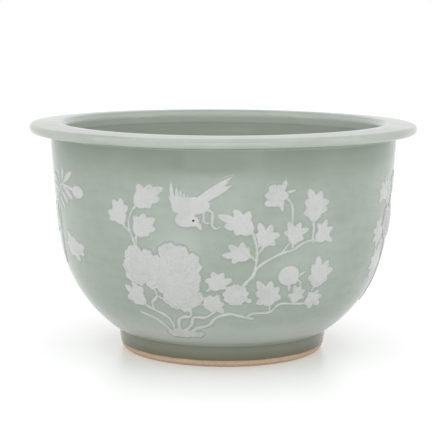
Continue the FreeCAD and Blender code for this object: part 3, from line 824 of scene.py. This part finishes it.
def celadon(weave, place, colours):
    """Colour and surface of the celadon: slow drifts and level bands of thickness, a fine
    curdled cloud, and a few tiny iron specks; its surface is barely dimpled."""
    drift = weave.noise(place, 14.0, 2.0)
    cloud = weave.noise(place, 120.0, 3.0, 0.6)
    flat = weave.node("ShaderNodeVectorMath", operation="MULTIPLY")
    weave.link(place, flat.inputs[0])
    flat.inputs[1].default_value = (1.0, 1.0, 6.0)
    band = weave.noise(flat.outputs[0], 22.0, 2.0)
    thick = weave.math("ADD", weave.spread(drift, 0.35, 0.68, 0.0, 0.30),
                       weave.spread(cloud, 0.35, 0.65, 0.0, 0.10))
    thick = weave.math("ADD", thick, weave.spread(band, 0.38, 0.68, 0.0, 0.12))
    tone = weave.blend(thick, colours.glaze, colours.glaze_deep_and_shade)
    specks = weave.node("ShaderNodeTexVoronoi")
    weave.fill(specks, {"Vector": place, "Scale": 42.0})
    speck = weave.spread(specks.outputs["Distance"], 0.016, 0.034, 1.0, 0.0)
    chosen = weave.spread(weave.noise(place, 23.0, 0.0), 0.60, 0.64)
    tone = weave.blend(weave.math("MULTIPLY", weave.math("MULTIPLY", speck, chosen), 0.55),
                       tone, colours.clay_dark)
    dimples = weave.bump(weave.noise(place, 330.0, 2.0), 0.00003)
    dimples = weave.bump(weave.noise(place, 38.0, 1.0), 0.00035, dimples)
    return tone, dimples


def glaze_over(weave, shader, tone, **others):
    """Give the shader its colour and the gloss of a fired glaze, and other named inputs."""
    weave.fill(shader, {"Base Color": tone, "Roughness": GLAZE_ROUGHNESS, "IOR": GLAZE_IOR,
                        **others})


def vessel_material(colours):
    """Celadon that pales where the attribute thin says, partly where the glaze has run thin off
    an edge and partly as painted light, and darkens where the attribute pool says, partly
    where glaze pools and partly as painted shade.
    """
    material, shader, weave = new_material("fired_celadon")
    place = weave.place()
    tone, dimples = celadon(weave, place, colours)
    # Paler where the glaze thins, and painted light: a highlight on the lip and mouth, floor light
    # low down.
    tone = weave.blend(weave.attribute("thin"), tone, colours.glaze_thin_and_lit)
    # Darker where glaze pools, and painted shade under the rim and above the foot.
    tone = weave.blend(weave.attribute("pool"), tone, colours.glaze_deep_and_shade)
    glaze_over(weave, shader, tone, Normal=dimples)
    return material


def relief_material(colours):
    """White slip under celadon.

    The attribute slip is its thickness in millimetres, which turns the glaze white. The
    attributes pool and hollow are how much glaze has gathered round the motif and in its
    folds, where it looks greener.
    """
    material, shader, weave = new_material("slip_under_celadon")
    place = weave.place()
    tone, dimples = celadon(weave, place, colours)
    slip = weave.attribute("slip")
    pool = weave.math("MULTIPLY", weave.attribute("pool"), 0.26)
    tone = weave.blend(pool, tone, colours.glaze_deep_and_shade)
    patchy = weave.spread(weave.noise(place, 230.0, 3.0, 0.6), 0.3, 0.7, -0.12, 0.12)
    laid = weave.math("ADD", slip, patchy)
    tone = weave.blend(weave.spread(slip, 0.0, 0.16), tone, colours.slip_thin)
    tone = weave.blend(weave.spread(laid, 0.20, 0.60), tone, colours.slip)
    tone = weave.blend(weave.math("MULTIPLY", weave.attribute("hollow"), 0.45), tone,
                       colours.slip_thin)
    thinner = weave.math("MULTIPLY", weave.spread(slip, 0.3, 0.6, 0.0, 0.5),
                         weave.spread(weave.noise(place, 75.0, 3.0, 0.6), 0.46, 0.70))
    tone = weave.blend(thinner, tone, colours.slip_thin)
    brushed = weave.math("MULTIPLY", weave.noise(place, 210.0, 2.0), weave.spread(slip, 0.1, 0.5))
    dimples = weave.bump(brushed, 0.00030, dimples)
    glaze_over(weave, shader, tone, Normal=dimples)
    return material


def foot_material(colours):
    """Celadon down to a wavering line, and below it the bare clay that stands on the ground,
    scorched along the line and rough with fine grit."""
    material, shader, weave = new_material("celadon_to_clay")
    place = weave.place()
    tone, dimples = celadon(weave, place, colours)
    # Darker where glaze pools, with painted shade at the top of the ring.
    tone = weave.blend(weave.attribute("pool"), tone, colours.glaze_deep_and_shade)
    height = weave.node("ShaderNodeSeparateXYZ")
    weave.link(place, height.inputs[0])
    # Browner and darker down the ring where the clay shows through, and painted shade under the
    # belly.
    browned_and_shaded = weave.spread(height.outputs["Z"], 0.006, 0.019, 0.92, 0.6)
    tone = weave.blend(browned_and_shaded, tone, colours.foot_glaze_and_shade)
    waver = weave.math("MULTIPLY_ADD", weave.noise(place, 55.0, 2.0), 0.0016, -0.0008)
    level = weave.math("ADD", height.outputs["Z"], waver)
    glazed = weave.spread(level, 0.0061, 0.0065)
    grit = weave.noise(place, 700.0, 3.0, 0.7)
    clay = weave.blend(weave.spread(grit, 0.4, 0.62, 0.0, 0.6), colours.clay, colours.clay_dark)
    scorch = weave.spread(level, 0.0040, 0.0064, 0.0, 0.75)
    clay = weave.blend(scorch, clay, colours.clay_dark)
    rough = weave.bump(weave.math("MULTIPLY", grit, weave.math("SUBTRACT", 1.0, glazed)),
                       0.00025, dimples)
    gloss = weave.spread(glazed, 0.0, 1.0, CLAY_ROUGHNESS, GLAZE_ROUGHNESS)
    glaze_over(weave, shader, weave.blend(glazed, clay, tone), Roughness=gloss, Normal=rough)
    return material


def eye_material(colours):
    """Iron black brushed on in one dot, browner and mottled where it is thin."""
    material, shader, weave = new_material("iron_dot")
    place = weave.place()
    mottle = weave.spread(weave.noise(place, 1500.0, 2.0), 0.45, 0.8, 0.0, 0.25)
    glaze_over(weave, shader, weave.blend(mottle, colours.iron, colours.clay_dark))
    return material


def finished(piece, node, material):
    """The piece rides on the root, stands for its node and takes its finish."""
    piece.data.materials.append(material)
    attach(piece, "root")
    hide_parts(node)


def shared_material(name, make, context):
    """A material made the first time that it is asked for."""
    return bpy.data.materials.get(name) or make(context.scene.jardiniere_colours)


# ------------------------------------------------------------------ operators
class JARDINIERE_OT_turn_bowl(bpy.types.Operator):
    """Turn the bowl: the outside bow and round, the inside, and the hollow floor"""

    bl_idname = "jardiniere.turn_bowl"
    bl_label = "Turn Bowl"

    def execute(self, context):
        sizes = context.scene.jardiniere_vessel
        curve = WallCurve(sizes)
        stray = sizes.unevenness / MM
        base = np.linspace(0, curve.foot_radius, 24)
        outside = np.stack(curve.at(np.linspace(0, curve.length, 112))[:2], -1)
        inner_sweep = curve.sweep - curve.wall
        inner_round = curve.round_radius - curve.wall
        path = inner_round - curve.floor_fillet
        fillet_lean = math.asin((curve.round_centre[1] - curve.floor_height
                                 - curve.floor_fillet) / path)
        fillet_centre = curve.on_arc(curve.round_centre, path, fillet_lean)
        floor = np.linspace(fillet_centre[0], 0, 16)[1:]
        run = np.vstack([
            level_run(base[:-1], curve.foot_height),
            outside,
            arc_run(curve.sweep_centre, inner_sweep, curve.mouth_lean, curve.belly_lean, 26),
            arc_run(curve.round_centre, inner_round, curve.belly_lean, fillet_lean, 20)[1:],
            arc_run(fillet_centre, curve.floor_fillet, fillet_lean, math.pi / 2, 12)[1:],
            level_run(floor, curve.floor_height),
        ])

        def shift(angle, radius, height):
            upright = np.clip((radius - 60) / 40, 0, 1)
            inner = radius < np.interp(height, outside[:, 1], outside[:, 0]) - 1
            rings = np.where(inner, 0.09 * np.sin(height / 1.7), 0)
            return upright * (thrown(angle, height, stray) + rings), 0

        piece = lathe("celadon_bowl", run, shift)
        across, ahead, height = places_of(piece).T

        def girth_from(spray):
            turned = np.arctan2(across, -ahead) - math.radians(SPRAY_TURNS[spray])
            return GIRTH_RADIUS * ((turned + math.pi) % (2 * math.pi) - math.pi)

        inside = np.hypot(across, ahead) < np.interp(height, outside[:, 1], outside[:, 0]) - 3
        # The glaze is paler inside and thin in a pale wash over each right peony.
        wash = bell(girth_from("back"), 19, -38) + bell(girth_from("front"), 19, -38)
        wash *= bell(height, 13, 117)
        # Painted light from the floor makes the glaze paler low on the round.
        low = 0.4 * bell(height, 13, 32)
        float_attribute(piece, "thin", 0.6 * inside + (0.38 * wash + low) * (1 - inside))
        # It darkens where glaze pools above the foot, and as painted shade there.
        rise = height - curve.foot_height
        fall = curve.neck_height - height
        pooled = 0.45 * np.exp(-np.clip(rise, 0, None) / 2.5)
        # Painted shade in a band under the rim, deepest at the front.
        pooled += 0.80 * bell(np.clip(fall - 8, 0, None), 16)
        pooled += 0.85 * bell(girth_from("front"), 26, -12) * bell(fall, 6, 12)
        float_attribute(piece, "pool", np.clip(pooled, 0, 1) * (1 - 0.45 * inside))
        finished(piece, "bowl", shared_material("fired_celadon", vessel_material, context))
        return {"FINISHED"}


class JARDINIERE_OT_turn_rim(bpy.types.Operator):
    """Turn the flanged rim: its cove, underside, rounded lip, crown and mouth"""

    bl_idname = "jardiniere.turn_rim"
    bl_label = "Turn Rim"

    def execute(self, context):
        sizes = context.scene.jardiniere_vessel
        curve = WallCurve(sizes)
        stray = sizes.unevenness / MM
        crown = sizes.height / MM
        neck = curve.neck_radius
        reach = neck + sizes.rim_reach / MM
        mouth = curve.mouth_radius
        lip_top = crown - 1.4
        run = rounded_run((
            (mouth, curve.neck_height, 0),
            (neck, curve.neck_height, 0),
            (neck, curve.neck_height + 3.2, 3.0),
            (reach, lip_top - sizes.lip / MM, 3.7),
            (reach, lip_top, 3.7),
            (neck, crown, 60.0),
            (mouth, crown, 6.5),
        ), 1.1)

        def shift(angle, radius, height):
            flange = np.clip((radius - neck) / (reach - neck), 0, 1)
            wave = np.sin(3 * angle + 0.4) + 0.7 * np.sin(5 * angle + 2.0)
            lift = np.sin(2 * angle + 1.1) + 0.6 * np.sin(7 * angle)
            out = thrown(angle, height, stray) + flange * stray * 1.2 * wave
            # The rim has slumped a little in the firing, most at the front left.
            slump = sizes.slump / MM * np.clip(np.cos(angle + 0.3), 0, 1) ** 2
            free = np.clip((height - curve.neck_height) / 3.0, 0, 1)
            return out, flange * stray * lift - slump * free

        piece = lathe("celadon_rim", run, shift)
        across, ahead, height = places_of(piece).T
        radius = np.hypot(across, ahead)
        to_mouth = (radius - mouth) / 1.5
        # Paler where the glaze runs thin at the lip's edge and round the mouth, with a painted
        # highlight along both.
        thin = 0.32 * bell(radius, 3.0, reach) + 0.45 * np.exp(-to_mouth ** 4)
        cove = np.hypot(radius - neck, height - curve.neck_height - 2.5)
        float_attribute(piece, "thin", np.clip(thin * (height > curve.neck_height + 2), 0, 1))
        # Darker where glaze pools in the cove under the flange, with painted shade there.
        float_attribute(piece, "pool", 0.5 * bell(cove, 3.0))
        finished(piece, "rim", shared_material("fired_celadon", vessel_material, context))
        return {"FINISHED"}


class JARDINIERE_OT_turn_foot(bpy.types.Operator):
    """Turn the foot ring, glazed to a line just above the ground"""

    bl_idname = "jardiniere.turn_foot"
    bl_label = "Turn Foot Ring"

    def execute(self, context):
        sizes = context.scene.jardiniere_vessel
        curve = WallCurve(sizes)
        stray = sizes.unevenness / MM
        inner = curve.foot_radius - sizes.foot_width / MM
        run = rounded_run((
            (inner, curve.foot_height, 0),
            (inner - 2.0, 0, 3.0),
            (curve.foot_radius - 2.6, 0, 6.0),
            (curve.foot_radius, curve.foot_height, 0),
        ), 0.8)
        glaze_edge = 0.28 * (1 + np.tanh((run[:, 1] - 6.4) / 0.25))
        run[:, 0] += np.where(run[:, 0] > (inner + curve.foot_radius) / 2,
                              glaze_edge - 0.56, 0)

        def shift(angle, radius, height):
            return thrown(angle, np.full_like(height, 19.0), stray), 0

        piece = lathe("foot_ring_glazed", run, shift)
        height = places_of(piece)[:, 2]
        # Darker where glaze pools at the top of the ring, with painted shade from the belly, and in
        # the roll of glaze at its edge.
        pooled = 0.7 * bell(height, 3.5, curve.foot_height) + 0.4 * bell(height, 1.5, 7.4)
        float_attribute(piece, "pool", np.clip(pooled, 0, 1))
        finished(piece, "foot_ring", foot_material(context.scene.jardiniere_colours))
        return {"FINISHED"}


def lay_group(context, endings, thick):
    """Lay the motifs of every spray whose names end as given."""
    laid = 0
    sprays = [("front", "front_", main_spray()), ("back", "back_", main_spray()),
              ("left", "", left_spray()), ("right", "", right_spray())]
    material = shared_material("slip_under_celadon", relief_material, context)
    for spray, prefix, motifs in sprays:
        for name, strokes in motifs.items():
            if name.endswith(endings):
                piece = lay_motif(context, prefix + name, spray, strokes, thick)
                finished(piece, prefix + name, material)
                laid += 1
    if not laid:
        raise RuntimeError("no motif has such a name")


class JARDINIERE_OT_lay_birds(bpy.types.Operator):
    """Lay the birds in flight, with an iron black eye each"""

    bl_idname = "jardiniere.lay_birds"
    bl_label = "Lay Birds"

    def execute(self, context):
        lay_group(context, ("bird",), context.scene.jardiniere_relief.bird)
        curve = WallCurve(context.scene.jardiniere_vessel)
        material = eye_material(context.scene.jardiniere_colours)
        radius, height, lean = curve.at(np.array(EYE_RISE - RISE_START))
        turn, out = np.meshgrid(np.linspace(0, 2 * math.pi, 25), np.linspace(1, 0.0, 9))
        for spray in ("front", "back"):
            # A low dome: places on rings about the eye's middle, raised by the root of one
            # less the square of the way out.
            girth = EYE_GIRTH + EYE_RADIUS * out * np.cos(turn)
            rise = EYE_RADIUS * out * np.sin(turn)
            lift = 1.0 + 0.75 * np.sqrt(1 - 0.999 * out ** 2)
            angle = math.radians(SPRAY_TURNS[spray]) + girth / radius
            reach = radius + lift * np.cos(lean)
            vertices = about_axis(reach, angle, height + rise - lift * np.sin(lean))
            vertices = vertices[:-1, :-1]
            index = np.arange(vertices[..., 0].size).reshape(vertices.shape[:2])
            beside = np.roll(index, -1, 1)
            quads = np.stack([index[:-1], beside[:-1], beside[1:], index[1:]], -1)
            faces = quads.reshape(-1, 4).tolist() + [index[-1].tolist()]
            piece = mesh_object("eye_" + spray, vertices.reshape(-1, 3) * MM, faces)
            finished(piece, spray + "_bird_eye", material)
        return {"FINISHED"}


class JARDINIERE_OT_lay_blooms(bpy.types.Operator):
    """Lay the peonies, the open blossoms and the buds"""

    bl_idname = "jardiniere.lay_blooms"
    bl_label = "Lay Blooms"

    def execute(self, context):
        lay_group(context, ("peony_lower", "peony_left", "peony_right", "right_peony",
                            "blossom", "bud"), context.scene.jardiniere_relief.petal)
        return {"FINISHED"}


class JARDINIERE_OT_lay_leaves(bpy.types.Operator):
    """Lay the lobed leaves and the narrow leaves"""

    bl_idname = "jardiniere.lay_leaves"
    bl_label = "Lay Leaves"

    def execute(self, context):
        lay_group(context, ("leaves", "leaf"), context.scene.jardiniere_relief.leaf)
        return {"FINISHED"}


class JARDINIERE_OT_lay_branches(bpy.types.Operator):
    """Lay the stems, branches and stalks, and the rockwork that they rise from"""

    bl_idname = "jardiniere.lay_branches"
    bl_label = "Lay Branches"

    def execute(self, context):
        lay_group(context, ("twig", "branch", "stalk", "stems", "rockwork"),
                  context.scene.jardiniere_relief.stem)
        return {"FINISHED"}


class JARDINIERE_OT_set_stage(bpy.types.Operator):
    """Set the white floor, the soft lamps, the even light and the camera"""

    bl_idname = "jardiniere.set_stage"
    bl_label = "Set Stage"

    def execute(self, context):
        stage = context.scene.jardiniere_stage
        scene = context.scene
        self.floor(stage)
        self.world(scene, stage)
        for name, place, target, size, power in (
                ("top_lamp", (0, -0.25, 1.5), (0, 0, 0.15), (1.5, 1.1), stage.top_lamp),
                ("front_lamp", (0, -1.9, 0.26), (0, 0, 0.08), (1.8, 0.46), stage.front_lamp),
                ("left_lamp", (-1.3, -0.5, 0.6), (0, 0, 0.12), (0.5, 1.2), stage.side_lamp),
                ("right_lamp", (1.3, -0.5, 0.6), (0, 0, 0.12), (0.5, 1.2), stage.side_lamp)):
            self.soft_lamp(name, place, target, size, power)
        camera = bpy.data.cameras.new("camera")
        camera.lens = stage.camera_lens
        camera.sensor_width = SENSOR_WIDTH
        view = bpy.data.objects.new("camera", camera)
        view.location = (0, -stage.camera_distance, stage.camera_height)
        aim = (Matrix.Rotation(stage.camera_yaw, 3, "Z")
               @ Matrix.Rotation(math.pi / 2 - stage.camera_pitch, 3, "X")
               @ Matrix.Rotation(stage.camera_roll, 3, "Z"))
        view.rotation_euler = aim.to_euler()
        scene.collection.objects.link(view)
        scene.camera = view
        scene.view_settings.view_transform = "Standard"
        return {"FINISHED"}

    @staticmethod
    def seen_ray(weave):
        """1 for rays from the camera, from a gloss or through glass, and 0 for the rest."""
        path = weave.node("ShaderNodeLightPath")
        seen = weave.math("MAXIMUM", path.outputs["Is Camera Ray"],
                          path.outputs["Is Glossy Ray"])
        return weave.math("MAXIMUM", seen, path.outputs["Is Transmission Ray"])

    def floor(self, stage):
        """A wide flat floor with a faint gloss, that the camera sees as near white."""
        half_side, count = 6.0, 25
        line = np.linspace(-half_side, half_side, count)
        across, ahead = np.meshgrid(line, line)
        vertices = np.stack([across, ahead, np.zeros_like(across)], -1).reshape(-1, 3)
        quads = grid_corners(np.arange(count * count).reshape(count, count))
        floor = mesh_object("floor", vertices, quads.reshape(-1, 4))
        material, shader, weave = new_material("floor")
        weave.fill(shader, {
            "Base Color": (*stage.floor, 1.0), "Roughness": 0.22, "Specular IOR Level": 0.2,
            "Emission Color": WHITE,
            "Emission Strength": weave.math("MULTIPLY", self.seen_ray(weave), stage.lift)})
        floor.data.materials.append(material)

    def world(self, scene, stage):
        """Even light from all round, white where it is seen."""
        world = bpy.data.worlds.new("studio")
        world.use_nodes = True
        scene.world = world
        weave = Weave(world.node_tree)
        weave.fill(world.node_tree.nodes["Background"], {
            "Color": WHITE,
            "Strength": weave.spread(self.seen_ray(weave), 0.0, 1.0, stage.ambient, 1.0)})

    @staticmethod
    def soft_lamp(name, place, target, size, power):
        light = bpy.data.lights.new(name, "AREA")
        light.shape = "RECTANGLE"
        light.size, light.size_y = size
        light.energy = power
        lamp_object = bpy.data.objects.new(name, light)
        lamp_object.location = place
        aim = np.array(target) - np.array(place)
        aim = aim / np.linalg.norm(aim)
        lamp_object.rotation_euler = (math.acos(-aim[2]), 0, math.atan2(aim[0], -aim[1]) + math.pi)
        bpy.context.scene.collection.objects.link(lamp_object)


class JARDINIERE_PT_sidebar(bpy.types.Panel):
    """The steps that make the jardiniere, in order"""

    bl_label = "Jardiniere"
    bl_idname = "JARDINIERE_PT_sidebar"
    bl_space_type = "VIEW_3D"
    bl_region_type = "UI"
    bl_category = "Jardiniere"

    def draw(self, context):
        for step in STEPS:
            self.layout.operator(step.bl_idname)
        for name, group in GROUPS.items():
            box = self.layout.box()
            for entry in group.__annotations__:
                box.prop(getattr(context.scene, name), entry)


STEPS = (JARDINIERE_OT_set_stage, JARDINIERE_OT_turn_bowl, JARDINIERE_OT_turn_rim,
         JARDINIERE_OT_turn_foot, JARDINIERE_OT_lay_birds, JARDINIERE_OT_lay_blooms,
         JARDINIERE_OT_lay_leaves, JARDINIERE_OT_lay_branches)
GROUPS = {"jardiniere_vessel": JardiniereVessel, "jardiniere_relief": JardiniereRelief,
          "jardiniere_colours": JardiniereColours, "jardiniere_stage": JardiniereStage}


def register():
    for name, group in GROUPS.items():
        bpy.utils.register_class(group)
        setattr(bpy.types.Scene, name, bpy.props.PointerProperty(type=group))
    for item in STEPS + (JARDINIERE_PT_sidebar,):
        bpy.utils.register_class(item)


def unregister():
    for item in reversed(STEPS + (JARDINIERE_PT_sidebar,)):
        bpy.utils.unregister_class(item)
    for name, group in GROUPS.items():
        delattr(bpy.types.Scene, name)
        bpy.utils.unregister_class(group)


def main():
    register()
    for step in STEPS:
        package, name = step.bl_idname.split(".")
        getattr(getattr(bpy.ops, package), name)()


if __name__ == "__main__":
    main()
